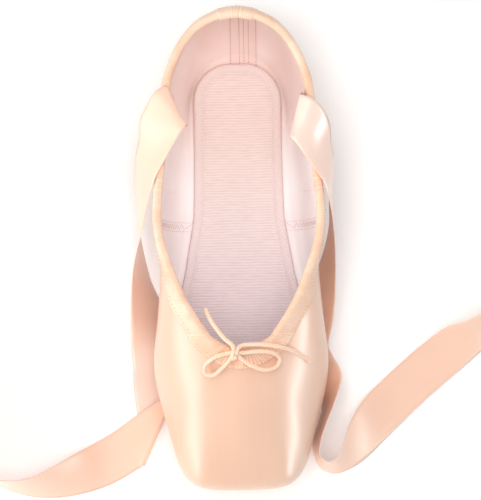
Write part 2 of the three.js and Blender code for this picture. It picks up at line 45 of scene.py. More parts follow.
# Camera. It looks down on the standing shoe from the toe side, nearly straight from above,
# with a long lens, and is rolled a little as the shoe is in the photo.
camera_distance = 1.5
camera_elevation = math.radians(87)
camera_roll = math.radians(-0.9)
camera_aim = Vector((0.5, -0.2, 30)) * MM
camera_lens = 215.3

camera = bpy.data.objects.new("camera", bpy.data.cameras.new("camera"))
bpy.context.scene.collection.objects.link(camera)
bpy.context.scene.camera = camera
camera.data.lens = camera_lens
camera_back = Vector((0, -math.cos(camera_elevation), math.sin(camera_elevation)))
camera_level = camera_back.to_track_quat("Z", "Y").to_matrix().to_4x4()
camera_place = Matrix.Translation(camera_aim + camera_distance * camera_back)
camera.matrix_world = camera_place @ camera_level @ Matrix.Rotation(camera_roll, 4, "Z")


# Ribbons. Two satin ribbons hold the shoe at the ankle, shiny on one side and dull on the other.
# Each is sewn inside a quarter, rolls out over the binding and lies loose on the floor.
ribbon_width = 22.5 * MM
ribbon_thickness = 0.3 * MM
ribbon_cup = 0.35 * MM
ribbon_ripple = 0.15 * MM
ribbon_ripple_every = 0.019
ribbon_steps = 8
ribbon_columns = 12
ribbon_rows_to_cup = 12
ribbon_weft = 2600
shoe_length = 241

# Columns as in the part: right, along from the back of the heel, height, the way across,
# and a last 1 where the way across is half the ribbon's slanting edge in millimetres.
left_ribbon_route = [
    [-32.2, 52, 34, -0.2, 9, 0, 1],
    [-33.1, 52, 43, -0.3, 9, 0, 1],
    [-33.2, 52, 51, -0.4, 9, 0, 1],
    [-32, 51.6, 57.5, 1.8, 9.6, 0, 1],
    [-30, 50.8, 61.5, 0.44, 0.9, 0],
    [-32.5, 52, 64.6, 0.5, 0.86, 0.1],
    [-35.8, 56.5, 64.4, 0.66, 0.72, 0.22],
    [-39.5, 63, 61.8, 0.8, 0.45, 0.39],
    [-42.5, 71.5, 57.4, 0.62, 0.4, 0.67],
    [-46, 80, 53, 0.5, 0.27, 0.82],
    [-48.8, 92, 43, 0.3, 0.2, 0.93],
    [-49.8, 102, 33, 0.17, 0.15, 0.97],
    [-51, 113, 24.8, 0, 0.12, 1],
    [-51.2, 126, 17.4, -0.24, 0.08, 0.97],
    [-50, 139, 12.4, -0.46, 0.05, 0.885],
    [-48, 149, 9.8, -0.68, 0.03, 0.73],
    [-45.7, 159, 6.6, -0.87, 0, 0.49],
    [-44.6, 169, 2.9, -0.985, 0, 0.17],
    [-44, 178, 0.8, -1, 0, 0],
    [-43.9, 186.2, 0.9, -11.2, 1.2, 0, 1],
    [-43, 194.1, 0.8, -10.5, 7.9, 0, 1],
    [-42.2, 201.1, 0.8, -9.7, 14.6, 0, 1],
    [-41.6, 207, 0.9, -9.2, 20.1, 0, 1],
    [-40.8, 208.3, 1.8, -9.2, 20.1, 0, 1],
    [-41.8, 207.9, 2.8, -9.2, 20.1, 0, 1],
    [-47.2, 212, 2.6, -4.7, 16.9, 0, 1],
    [-53, 216, 2.1, 0.9, 13.1, 0, 1],
    [-59.5, 220.5, 1.8, 6.4, 9.2, 0, 1],
    [-71, 227, 2.2, 0.5, 0.84, -0.12],
    [-83.5, 232, 6, 0.38, 0.75, -0.45],
    [-96, 236, 9.1, 0.25, 0.6, -0.72],
    [-108.5, 238, 10.9, 0.1, 0.4, -0.9],
    [-121, 236.5, 11.7, 0, 0.2, -0.98],
    [-132, 230, 11.8, -0.05, 0, -1],
    [-138.5, 219.5, 11.8, -0.1, 0, -1],
    [-141.5, 206, 11.2, -0.3, 0, -0.95],
    [-142.3, 191, 8.7, -0.7, 0, -0.7],
    [-141, 176, 3.6, -0.95, 0, -0.27],
    [-139, 161, 0.8, -1, 0, 0],
    [-136, 147, 0.8, -1, 0, 0],
]
right_ribbon_route = [
    [31.6, 55, 34, 0, 1, 0],
    [32.4, 55, 44, 0, 1, 0],
    [32.2, 55, 52, 0, 1, 0],
    [29.5, 56.5, 58, -0.22, 0.97, 0],
    [28.6, 57, 61.8, -0.22, 0.97, 0],
    [31, 58, 65, -0.22, 0.97, 0.05],
    [34.5, 61, 65, -0.35, 0.92, 0.15],
    [38, 67, 62.6, -0.5, 0.75, 0.35],
    [41, 75, 59, -0.45, 0.5, 0.7],
    [44.8, 83, 54.8, -0.3, 0.3, 0.9],
    [46, 93, 46.7, -0.08, 0.25, 0.96],
    [46.2, 104, 38, 0.05, 0.3, 0.95],
    [46.6, 115, 29.5, 0.1, 0.3, 0.94],
    [45.4, 127, 21.5, 0.25, 0.25, 0.92],
    [42.6, 140, 14.4, 0.5, 0.15, 0.85],
    [38.8, 152, 9.2, 0.75, 0.1, 0.65],
    [34.4, 163, 5, 0.93, 0.05, 0.34],
    [34, 172, 3.4, 0.97, 0, 0.22],
    [37.6, 180.5, 4.6, 0.94, -0.1, 0.32],
    [43.2, 189, 8.6, 0.74, -0.2, 0.66],
    [43.8, 198, 11.4, 0.28, 0, 0.96],
    [40.6, 208, 11.8, 0.16, 0, 0.98],
    [37.4, 217.5, 11.8, 0.16, 0, 0.98],
    [37.8, 224.5, 12, 0.08, -0.05, 1],
    [41.3, 229.3, 12, 0.05, -0.2, 1],
    [47.2, 229.6, 11.8, -0.05, -0.35, 0.95],
    [53.3, 225, 10.4, -0.2, -0.55, 0.83],
    [58.5, 218.5, 8.2, -0.4, -0.7, 0.62],
    [64, 211, 5.2, -0.55, -0.75, 0.38],
    [71, 203, 2.4, -0.68, -0.7, 0.12],
    [79.5, 195, 0.9, -0.74, -0.67, 0],
    [89.5, 186, 0.9, -0.74, -0.67, 0],
    [100, 177.3, 1.8, -0.7, -0.66, 0.08],
    [111, 168.8, 5, -0.6, -0.7, 0.36],
    [122, 162, 8.8, -0.6, -0.4, 0.7],
    [132, 151, 11.1, -0.35, -0.2, 0.93],
    [138, 137, 11, -0.4, 0, 0.9],
    [140.5, 122, 7.7, -0.8, 0, 0.6],
    [141, 106, 2.6, -0.98, 0, 0.17],
    [140, 92, 0.8, -1, 0, 0],
    [138.5, 78, 0.8, -1, 0, 0],
]


def on_shoe(right, along, height):
    """A place on the shoe, from millimetres right of the middle, along from the heel and up."""
    return Vector((right, shoe_length / 2 - along, height)) * MM


def smooth_line(points, steps):
    """A smooth line through points, with this many steps between neighbours, evenly paced on each."""
    ends = [2 * points[0] - points[1], *points, 2 * points[-1] - points[-2]]
    line = []
    for p0, p1, p2, p3 in zip(ends, ends[1:], ends[2:], ends[3:]):
        d0, d1, d2 = (max((b - a).length, 1e-9) ** 0.5 for a, b in ((p0, p1), (p1, p2), (p2, p3)))
        leave = ((p1 - p0) / d0 - (p2 - p0) / (d0 + d1) + (p2 - p1) / d1) * d1
        reach = ((p2 - p1) / d1 - (p3 - p1) / (d1 + d2) + (p3 - p2) / d2) * d1
        for step in range(steps):
            t = step / steps
            line.append(p1 + leave * t + (3 * (p2 - p1) - 2 * leave - reach) * t * t
                        + (2 * (p1 - p2) + leave + reach) * t ** 3)
    return line + [points[-1]]


class Amount:
    """A number that varies over a surface. Sums and products of it add the Math nodes they need."""

    def __init__(self, finish, socket):
        self.finish, self.socket = finish, socket

    def maths(self, operation, first, second=0):
        return self.finish.node("Math", {"operation": operation}, {0: first, 1: second})

    def __add__(self, other):
        return self.maths("ADD", self, other)

    def __sub__(self, other):
        return self.maths("SUBTRACT", self, other)

    def __rsub__(self, other):
        return self.maths("SUBTRACT", other, self)

    def __mul__(self, other):
        return self.maths("MULTIPLY", self, other)

    def __truediv__(self, other):
        return self.maths("DIVIDE", self, other)

    __radd__ = __add__
    __rmul__ = __mul__

    def wave(self):
        return self.maths("SINE", self)

    def size(self):
        return self.maths("ABSOLUTE", self)

    def between(self, low, high):
        """0 below low and 1 above high, with a soft step."""
        settings = {"interpolation_type": "SMOOTHSTEP"}
        return self.finish.node("MapRange", settings, {0: self, 1: low, 2: high})


class Finish:
    """A material on one Principled shader. Its node method makes every other node."""

    def __init__(self, name, **fixed):
        self.material = bpy.data.materials.new(name)
        self.material.use_nodes = True
        self.tree = self.material.node_tree
        self.shader = self.tree.nodes["Principled BSDF"]
        for key, value in fixed.items():
            self.shader.inputs[key.replace("_", " ").title().replace("Ior", "IOR")].default_value = value

    def node(self, kind, settings, values, output=0):
        made = self.tree.nodes.new("ShaderNode" + kind)
        for key, value in settings.items():
            setattr(made, key, value)
        for key, value in values.items():
            if isinstance(value, Amount):
                self.tree.links.new(value.socket, made.inputs[key])
            elif hasattr(value, "__len__") and len(value) == 3 and made.inputs[key].type == "RGBA":
                made.inputs[key].default_value = (*value, 1)
            else:
                made.inputs[key].default_value = value
        return Amount(self, made.outputs[output])

    def place(self):
        return self.node("TexCoord", {}, {}, "Object")

    def part(self, vector, axis):
        return self.node("SeparateXYZ", {}, {0: vector}, axis)

    def stretched(self, vector, x, y, z):
        return self.node("Mapping", {}, {"Vector": vector, "Scale": (x, y, z)})

    def noise(self, vector, scale, detail=2):
        return self.node("TexNoise", {}, {"Vector": vector, "Scale": scale, "Detail": detail})

    def value(self, name):
        return self.node("Attribute", {"attribute_name": name}, {}, "Fac")

    def mixed(self, factor, first, second):
        return self.node("Mix", {"data_type": "RGBA"}, {0: factor, 6: first, 7: second}, 2)

    def bumped(self, height, depth, strength=1):
        return self.node("Bump", {}, {"Height": height, "Distance": depth, "Strength": strength})

    def feed(self, **links):
        for key, value in links.items():
            self.tree.links.new(value.socket, self.shader.inputs[key.replace("_", " ").title()])
        return self.material


def colour(red, green, blue):
    """A colour as the eye reads it, from 0 to 255, as the linear values that a shader takes."""
    shares = (value / 255 for value in (red, green, blue))
    return tuple(s / 12.92 if s < 0.04045 else ((s + 0.055) / 1.055) ** 2.4 for s in shares)


def finish_ribbon(name, light, deep, roughness, shine):
    """Satin ribbon: fine threads along it, a soft change of tone and a woven edge on each side."""
    cloth = Finish(name, roughness=roughness, sheen_weight=0.2, sheen_roughness=0.4, coat_weight=shine,
                   coat_roughness=0.22, specular_ior_level=0.8)
    along = cloth.node("TexCoord", {}, {}, "UV")
    threads = cloth.noise(cloth.stretched(along, 70, 6, 1), 1, 2)
    slow = cloth.noise(cloth.place(), 20, 2)
    tone = (slow * 0.75 + threads * 0.25).between(0.3, 0.7)
    edge = (cloth.part(along, 0) - 0.5).size().between(0.458, 0.472)
    woven = (cloth.part(along, 1) * ribbon_weft).wave()
    height = threads * 0.12 + edge * 0.5 + woven * edge * 0.3
    return cloth.feed(base_color=cloth.mixed(tone, deep, light), normal=cloth.bumped(height, 0.12 * MM, 0.4))


ribbon_shiny = finish_ribbon("ribbon_shiny_side", colour(248, 218, 203), colour(245, 208, 190), 0.34, 0.4)
ribbon_dull = finish_ribbon("ribbon_dull_side", colour(252, 212, 188), colour(249, 203, 178), 0.5, 0.1)


def mesh_of(made, name):
    """The finished bmesh as a mesh of this name."""
    mesh = bpy.data.meshes.new(name)
    made.to_mesh(mesh)
    made.free()
    return mesh


def show_piece(name, mesh, materials):
    """The finished piece in its place, riding on the shoe."""
    for material in materials:
        mesh.materials.append(material)
    piece = bpy.data.objects.new(name, mesh)
    bpy.context.scene.collection.objects.link(piece)
    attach(piece, "root")
    return piece


def map_smoothly(made, uv, places):
    """Smooth shading, with each corner's own place written into the piece's map."""
    for face in made.faces:
        face.smooth = True
        for loop in face.loops:
            loop[uv].uv = places[loop.vert]


def way_covered(points):
    """How far along the line each of its points lies."""
    return np.cumsum([0] + [(b - a).length for a, b in zip(points, points[1:])])


def run_at(points, index):
    """The line's direction at one of its points."""
    return (points[min(index + 1, len(points) - 1)] - points[max(index - 1, 0)]).normalized()


def lay_ribbon(name, node, route):
    """A flat woven ribbon along its route, a little cupped across, with its real thickness."""
    places = [on_shoe(*row[:3]) for row in route]
    centres = smooth_line(places, ribbon_steps)
    halves = []
    for index, row in enumerate(route):
        way = Vector((row[3], -row[4], row[5]))
        if len(row) > 6:
            halves.append(way * MM)
            continue
        run = run_at(centres, index * ribbon_steps)
        halves.append((way - run * way.dot(run)).normalized() * ribbon_width / 2)
    edges = [smooth_line([place + side * half for place, half in zip(places, halves)], ribbon_steps)
             for side in (1, -1)]
    middle = [(a + b) / 2 for a, b in zip(*edges)]
    covered = way_covered(middle)
    rows = len(middle) - 1
    ribbon = bmesh.new()
    uv = ribbon.loops.layers.uv.new("UVMap")
    bmesh.ops.create_grid(ribbon, x_segments=ribbon_columns, y_segments=rows, size=1)
    woven = {}
    for point in ribbon.verts:
        across = point.co.x
        row = round((point.co.y + 1) / 2 * rows)
        width = edges[0][row] - edges[1][row]
        up = width.cross(run_at(middle, row)).normalized()
        cup = ribbon_cup * (1 - across ** 2) * min(1, row / ribbon_rows_to_cup)
        ripple = ribbon_ripple * math.sin(covered[row] / ribbon_ripple_every + 1.7 * across) * across ** 2
        woven[point] = ((across + 1) / 2, covered[row])
        point.co = middle[row] + width * across / 2 + up * (cup + ripple)
    map_smoothly(ribbon, uv, woven)
    piece = show_piece(name, mesh_of(ribbon, name), [ribbon_shiny, ribbon_dull])
    wall = piece.modifiers.new("thickness", "SOLIDIFY")
    wall.thickness = ribbon_thickness
    wall.offset = 0
    wall.material_offset = 1
    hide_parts(node)


lay_ribbon("left_ribbon", "ribbon_left", left_ribbon_route)
lay_ribbon("right_ribbon", "ribbon_right", right_ribbon_route)


# Drawstring bow. A fine soft cotton cord runs in the binding, comes out at the throat and is tied
# in a small bow: two loops, two ends of unlike length and a knot that wraps round them.
bow_cord_width = 2.1 * MM
bow_cord_sides = 12
bow_cord_steps = 6
strand_twist = 5200
bow_routes = {
    "left_loop": [[-3.9, 172.6, 68], [-7.2, 173.2, 67.5], [-10.4, 173.9, 67.4], [-14.5, 175.9, 65.7],
                  [-17.8, 179, 62.5], [-17.6, 182.8, 60.8], [-14, 183.6, 61.4], [-10, 180.8, 63.5],
                  [-6.2, 177, 66]],
    "right_loop": [[-1.6, 172.8, 68.4], [1.4, 173, 68], [5, 172.5, 68.1], [10.5, 172.3, 67.7],
                   [15.8, 173.2, 65.6], [19, 176.2, 62.1], [17.4, 179.6, 60.9], [12.2, 181.4, 62.8],
                   [7, 180, 64.7], [1.6, 177, 66.3]],
    "left_end": [[-4.4, 169, 68.6], [-7.4, 166.4, 68.4], [-10.6, 162.6, 67.6], [-13.6, 158.4, 66.2],
                 [-15.8, 154.4, 64.5], [-17.4, 150.4, 62.4]],
    "right_end": [[0.4, 169.4, 69.3], [4, 169, 69.6], [10, 169, 69.4], [17, 169.8, 67.9], [24, 171.6, 63.2],
                  [30, 174.6, 57.2], [35.4, 178.4, 50.6]],
}
knot_centre = on_shoe(-2.9, 172.6, 69)
knot_half_height = 1.5 * MM
knot_half_length = 3.2 * MM
knot_steps = 24


def finish_cord():
    """Soft cotton cord: fine strands braided close, with a slightly hairy face."""
    cord = Finish("drawstring_cotton", roughness=0.75, sheen_weight=0.4, sheen_roughness=0.5)
    along = cord.node("TexCoord", {}, {}, "UV")
    turn = cord.part(along, 0) * (2 * math.pi)
    strands = (turn * 3 + cord.part(along, 1) * strand_twist).wave()
    fibres = cord.noise(cord.place(), 1800, 3)
    tone = (strands * 0.05 + fibres).between(0.2, 0.8)
    return cord.feed(base_color=cord.mixed(tone, colour(243, 200, 170), colour(248, 217, 192)),
                     normal=cord.bumped(strands * 0.15 + fibres * 0.6, 0.1 * MM))


cord_cotton = finish_cord()


def twist_cord(name, points, radius):
    """A round cord along points, with rounded ends and its map running round and along it."""
    cord = bmesh.new()
    uv = cord.loops.layers.uv.new("UVMap")
    rows = len(points) - 1
    bmesh.ops.create_grid(cord, x_segments=bow_cord_sides, y_segments=rows, size=1)
    covered = way_covered(points)
    side = Vector((0, 0, 1))
    turns = []
    for index in range(len(points)):
        run = run_at(points, index)
        side = (side - run * side.dot(run)).normalized()
        turns.append((run.cross(side), side))
    places = {}
    for point in cord.verts:
        share = (point.co.x + 1) / 2
        row = round((point.co.y + 1) / 2 * rows)
        turn = 2 * math.pi * share
        from_end = min(1, min(covered[row], covered[-1] - covered[row]) / radius)
        reach = radius * math.sqrt(max(0.05, 1 - (1 - from_end) ** 2))
        first, second = turns[row]
        places[point] = (share, covered[row])
        point.co = points[row] + reach * (first * math.cos(turn) + second * math.sin(turn))
    map_smoothly(cord, uv, places)
    bmesh.ops.remove_doubles(cord, verts=cord.verts, dist=1e-6)
    bmesh.ops.holes_fill(cord, edges=cord.edges, sides=bow_cord_sides)
    bmesh.ops.recalc_face_normals(cord, faces=cord.faces)
    return show_piece(name, mesh_of(cord, name), [cord_cotton])


def knot_turn(across, tilt):
    """One turn of the knot: the cord wrapped once round the others."""
    ring = []
    for step in range(knot_steps + 1):
        angle = 2 * math.pi * step / knot_steps
        point = Vector((0, knot_half_length * math.cos(angle), knot_half_height * math.sin(angle)))
        ring.append(knot_centre + Vector((across * MM, 0, 0)) + Matrix.Rotation(tilt, 3, "Z") @ point)
    return ring


bow_knot = twist_cord("bow_knot_wrap", knot_turn(-0.9, -0.12), 0.95 * MM)
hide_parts("bow_knot")
twist_cord("bow_knot_second_wrap", knot_turn(0.9, -0.3), 0.9 * MM)


def tie_cord(name, first, second, nodes):
    """One cord of the bow: a loop that starts in the knot and goes on through it as an end."""
    loop, end = ([on_shoe(*row) for row in bow_routes[route]] for route in (first, second))
    points = smooth_line([*loop, knot_centre, *end], bow_cord_steps)
    piece = twist_cord(name, points, bow_cord_width / 2)
    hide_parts(*nodes)
    way_covered(points)[-1]


tie_cord("bow_left_cord", "left_loop", "right_end", ["bow_loop_left", "bow_end_right"])
tie_cord("bow_right_cord", "right_loop", "left_end", ["bow_loop_right", "bow_end_left"])


# Upper. Peach satin over paste and canvas, pulled down over the last and turned under the sole,
# with a cotton lining inside. The vamp is smooth and tight, and the quarters are soft.
outer_rows = 25
half_length = 0.12
pleat_turn = 5.2
heel_tape_middle = 3.6
heel_tape_half = 7.2
heel_tape_rows = (-3, 1.5, 3.8, 6.2, 10)
heel_tape_ribs = 5200
lining_seam_rows = (106, 110.5)
side_seam_rows = (87.9, 91.1)
back_seam_rows = (-2.2, 2.2)


def finish_satin():
    satin = Finish("peach_satin", roughness=0.4, sheen_weight=0.15, sheen_roughness=0.35, coat_weight=0.45,
                   coat_roughness=0.36, specular_ior_level=0.9)
    place = satin.place()
    streaks = satin.noise(satin.stretched(place, 320, 9, 60), 1, 2)
    slow = satin.noise(place, 12, 2)
    weave = satin.noise(satin.stretched(place, 4200, 1100, 2600), 1, 1)
    tone = (streaks * 0.2 + slow * 0.8).between(0.25, 0.8)
    pleats = (satin.value("round") * pleat_turn + slow * 3).wave() * satin.value("down").between(0.66, 0.86)
    height = streaks * 0.08 + weave * 0.1 + pleats * 1.2 * satin.value("toe").between(0.5, 0.75)
    return satin.feed(base_color=satin.mixed(tone, colour(229, 184, 156), colour(234, 194, 168)),
                      normal=satin.bumped(height, 0.35 * MM, 0.5))


def finish_lining():
    lining = Finish("pale_lining", roughness=0.85, sheen_weight=0.15)
    place = lining.place()
    slow = lining.noise(place, 26, 2)
    crumple = lining.noise(lining.stretched(place, 60, 60, 140), 1, 3)
    weave = lining.noise(place, 1600, 2)
    from_tape = (lining.part(place, 0) / MM - heel_tape_middle).size()
    taped = 1 - from_tape.between(heel_tape_half, heel_tape_half + 0.5)
    taped = taped * lining.part(place, 1).between(0.09, 0.092)
    ribs = (lining.part(place, 2) * heel_tape_ribs).wave()
    tone = slow.between(0.3, 0.7) - taped * (0.5 + ribs * 0.2)
    # Painted shade and painted warm bounced light: the lining is painted pinker and a little darker towards
    # the heel, deep in the opening.
    painted_heel_shade = lining.part(place, 1).between(0.03, 0.09)
    pale = lining.mixed(painted_heel_shade, colour(254, 248, 247), colour(251, 233, 227))
    deep = lining.mixed(painted_heel_shade, colour(250, 237, 236), colour(246, 219, 211))
    height = weave * 0.15 + crumple * 1.6 + taped * (1 + ribs * 0.2)
    return lining.feed(base_color=lining.mixed(tone, deep, pale),
                       normal=lining.bumped(height, 0.4 * MM, 0.4))


def quad_skin(node, values):
    """A bmesh of a ringed solid whose loose triangles are joined again into the four-sided faces they
    were cut from. The cuts run one way, so at each corner the two cut edges lie opposite each other."""
    skin = bmesh.new()
    skin.from_mesh(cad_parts[node].data)
    for value in values:
        skin.verts.layers.float.new(value)
    bmesh.ops.remove_doubles(skin, verts=skin.verts, dist=5e-6)

    def fan(corner, first):
        edges, loop = [first], next(l for l in first.link_loops if l.vert == corner)
        for _ in range(len(corner.link_edges) - 1):
            loop = loop.link_loop_prev.link_loop_radial_next
            edges.append(loop.edge)
        return edges

    seed = min(skin.verts, key=lambda v: (v.co - Vector((0.03, 0.03, 0.05))).length)
    slant = max(seed.link_edges, key=lambda e: abs(e.verts[0].co.y - e.verts[1].co.y)
                * (e.verts[0].co - e.verts[1].co).xz.length)
    cuts, waiting = {slant}, [(seed, slant), (slant.other_vert(seed), slant)]
    while waiting:
        corner, cut = waiting.pop()
        edges = fan(corner, cut)
        found = [edges[3]]
        for side in (1, 4):
            far = [edges[near].other_vert(corner) for near in (side, side + 1)]
            found.append(skin.edges.get(far))
        for edge in found:
            if edge not in cuts:
                cuts.add(edge)
                waiting.extend((end, edge) for end in edge.verts)
    bmesh.ops.dissolve_edges(skin, edges=list(cuts), use_verts=False)
    return skin


def rings_of(skin):
    """The skin's corners as rings round the shoe: the first is the outer edge of the collar at the heel,
    and the rest follow down the outside, under the edge and up the inside."""
    def walk(corner, edge):
        ring, start = [corner], corner
        while True:
            corner = edge.other_vert(corner)
            if corner == start:
                return ring
            ring.append(corner)
            edge = next(e for e in corner.link_edges if not set(e.link_faces) & set(edge.link_faces))

    heel = [v for v in skin.verts if abs(v.co.x) < 1e-6 and v.co.y > 0]
    top = max(heel, key=lambda v: v.co.z + 0.6 * v.co.y)
    down = min((e for e in top.link_edges if abs(e.other_vert(top).co.x) < 1e-6),
               key=lambda e: e.other_vert(top).co.z - 0.5 * e.other_vert(top).co.y)
    return [walk(corner, max(corner.link_edges, key=lambda e: e.other_vert(corner).co.x))
            for corner in walk(top, down)]


def subdivided(skin, name):
    """The skin as a mesh after smooth subdivision, swollen first so that it still passes through its
    corners."""
    mesh = mesh_of(skin, name)
    rough = bpy.data.objects.new(name, mesh)
    bpy.context.scene.collection.objects.link(rough)
    rounder = rough.modifiers.new("rounder", "SUBSURF")
    rounder.levels = rounder.render_levels = 2
    wanted = np.array([point.co[:] for point in mesh.vertices])
    for _ in range(4):
        mesh.update()
        ready = bpy.data.meshes.new_from_object(rough.evaluated_get(bpy.context.evaluated_depsgraph_get()))
        for point, goal in zip(mesh.vertices, wanted):
            point.co += (Vector(goal) - ready.vertices[point.index].co) * 0.8
        rough.update_tag()
    bpy.data.objects.remove(rough)
    ready.name = name
    for face in ready.polygons:
        face.use_smooth = True
    return ready


upper_skin = quad_skin("upper", ("round", "down", "toe"))
upper_rings = rings_of(upper_skin)
ring_of = {corner: row for row, ring in enumerate(upper_rings) for corner in ring}
for face in upper_skin.faces:
    face.material_index = 1 if sum(ring_of[v] for v in face.verts) / 4 > outer_rows else 0
upper_values = upper_skin.verts.layers.float
round_shoe, down_wall, towards_toe = upper_values["round"], upper_values["down"], upper_values["toe"]
for row, ring in enumerate(upper_rings):
    for index, corner in enumerate(ring):
        corner[round_shoe] = index
        corner[down_wall] = min(row, 2 * outer_rows - row) / outer_rows
        corner[towards_toe] = (half_length - corner.co.y) / (2 * half_length)
upper_mesh = subdivided(upper_skin, "satin_upper")
upper = show_piece("satin_upper", upper_mesh, [finish_satin(), finish_lining()])
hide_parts("upper")


def surface_of(piece):
    """The piece's surface, ready for rays and for finding the nearest place on it."""
    places = [point.co for point in piece.data.vertices]
    return BVHTree.FromPolygons(places, [face.vertices for face in piece.data.polygons])


def seam_on(surface, rays):
    """Where rays meet the surface, each place with the surface's normal turned back along its ray."""
    met = []
    for start, way in rays:
        place, normal, _, _ = surface.ray_cast(start, way)
        if place:
            met.append((place, normal if normal.dot(way) < 0 else -normal))
    return met


def sew(name, seams, pitch, bite, thread, material, slant=0):
    """Rows of stitches: short rounded threads laid along each seam, each turned by slant radians.
    They are gathered a few dozen at a time, because a large bmesh is slow to add to."""
    sewn, row, mesh = bmesh.new(), bmesh.new(), bpy.data.meshes.new(name)
    shape = Matrix.Diagonal((bite / 2, thread / 2, thread / 2.4, 1))
    for seam in seams:
        left = 0
        for (place, normal), (following, _) in zip(seam, seam[1:]):
            run = following - place
            length = run.length
            while left < length:
                ahead = run.normalized()
                ahead = (ahead - normal * ahead.dot(normal)).normalized()
                ahead = Matrix.Rotation(slant, 3, normal) @ ahead
                turn = Matrix((ahead, normal.cross(ahead), normal)).transposed().to_4x4()
                spot = Matrix.Translation(place + run * (left / length) + normal * thread * 0.15)
                bmesh.ops.create_uvsphere(row, u_segments=6, v_segments=4, radius=1,
                                          matrix=spot @ turn @ shape)
                left += pitch
            left -= length
            if len(row.verts) > 600 or following is seam[-1][0]:
                row.to_mesh(mesh)
                sewn.from_mesh(mesh)
                row.clear()
    row.free()
    for face in sewn.faces:
        face.smooth = True
    sewn.to_mesh(mesh)
    sewn.free()
    return show_piece(name, mesh, [material])


def across_wall(from_middle, way, along, low, high):
    """Rays sideways at the shoe, this far along it, every 0.8 mm from low to high."""
    return [(on_shoe(from_middle, along, height), Vector((way, 0, 0)))
            for height in np.arange(low, high, 0.8)]


def zigzag_rays(from_middle, way, along, width, low, step, count):
    """Rays sideways at the shoe that swing to and fro along it as they climb."""
    return [(on_shoe(from_middle, along + width * (turn % 2), low + step * turn), Vector((way, 0, 0)))
            for turn in range(count)]


def thread_finish(name, tint):
    """Plain sewing thread of one colour."""
    return Finish(name, base_color=(*tint, 1), roughness=0.7).material


satin_thread = thread_finish("satin_thread", colour(236, 190, 158))
lining_thread = thread_finish("lining_thread", colour(214, 176, 168))
heel_thread = thread_finish("heel_thread", colour(190, 146, 142))
upper_surface = surface_of(upper)

# Inside, a tape covers the seam at the back and is sewn down in rows
heel_ways = [Vector((0, math.cos(turn), -math.sin(turn))) for turn in map(math.radians, range(-12, 98, 2))]
heel_rays = [[(Vector((x * MM, 0.09, 0.045)), way) for way in heel_ways] for x in heel_tape_rows]
heel_seams = [seam_on(upper_surface, rays) for rays in heel_rays]
sew("heel_tape_stitches", heel_seams, 1.7 * MM, 0.9 * MM, 0.45 * MM, heel_thread)

# The linings of vamp and quarters meet in a seam on each side, with a band of zigzag stitches
for side, name in ((-1, "left"), (1, "right")):
    rows = [seam_on(upper_surface, across_wall(0, side, along, 14, 62)) for along in lining_seam_rows]
    zigzag = seam_on(upper_surface, zigzag_rays(0, side, lining_seam_rows[0] + 1, 2.4, 14, 1.1, 43))
    sew(name + "_lining_seam", rows, 1.8 * MM, 1.1 * MM, 0.32 * MM, lining_thread)
    sew(name + "_lining_zigzag", [zigzag], 1 * MM, 0.9 * MM, 0.3 * MM, lining_thread)

# Outside, the side seams are sewn flat in a band and the back seam stands a little proud
for side, name in ((-1, "left"), (1, "right")):
    rows = [seam_on(upper_surface, across_wall(90 * side, -side, along, 7, 49)) for along in side_seam_rows]
    zigzag = seam_on(upper_surface, zigzag_rays(90 * side, -side, side_seam_rows[0] + 0.7, 1.8, 7, 1.2, 36))
    sew(name + "_side_seam", rows, 1.7 * MM, 1.1 * MM, 0.35 * MM, satin_thread)
    sew(name + "_side_zigzag", [zigzag], 1.1 * MM, 1 * MM, 0.3 * MM, satin_thread)
back_heights = np.arange(8, 47, 0.8)
back_seams = [seam_on(upper_surface, [(Vector((x, 200, z)) * MM, Vector((0, -1, 0))) for z in back_heights])
              for x in back_seam_rows]
sew("back_seam", back_seams, 1.8 * MM, 1.1 * MM, 0.35 * MM, satin_thread)


# Binding. A ribbed tape folded over the edge of the satin and sewn down, with the drawstring inside.
# It is gathered where it turns at the throat and laps over itself at the back.
tape_rib = 1 * MM
pucker_every = 4.3
pucker_reach_left = 34
pucker_reach_right = 20
pucker_height = 0.2
tape_slack = 0.05
stitch_from_edge = 0.18


def finish_binding():
    tape = Finish("ribbed_tape", roughness=0.6, sheen_weight=0.25, sheen_roughness=0.5,
                  specular_ior_level=0.6)
    ribs = (tape.value("round") * (2 * math.pi / tape_rib)).wave()
    slow = tape.noise(tape.place(), 90, 2)
    # Painted shade: where the tape is gathered at the throat its tone is painted darker, with deeper shade
    # between its ribs, for the shade in the gathers.
    gathered = 1 - tape.value("round").between(0.005, 0.02)
    tone = (slow + ribs * 0.14 + gathered * ribs * 0.1 - gathered * 0.25).between(0.25, 0.75)
    return tape.feed(base_color=tape.mixed(tone, colour(240, 190, 158), colour(248, 217, 193)),
                     normal=tape.bumped(ribs * 0.35 + slow + gathered * ribs * 0.2, 0.25 * MM, 0.8))


def puckered(away, side):
    """How far the tape bulges, in millimetres, this far from the throat on the side -1 or 1."""
    reach = pucker_reach_left if side < 0 else pucker_reach_right
    gather = max(0, 1 - away / reach) ** 0.7 * min(1, away / 3)
    turn = away * 2 * math.pi / pucker_every
    fold = math.sin(turn + 1.3 * math.sin(away * 0.7)) + 0.5 * math.sin(away * 3.1 + side)
    return pucker_height * gather * fold + tape_slack * math.sin(away * 0.9) * math.sin(away * 0.37)


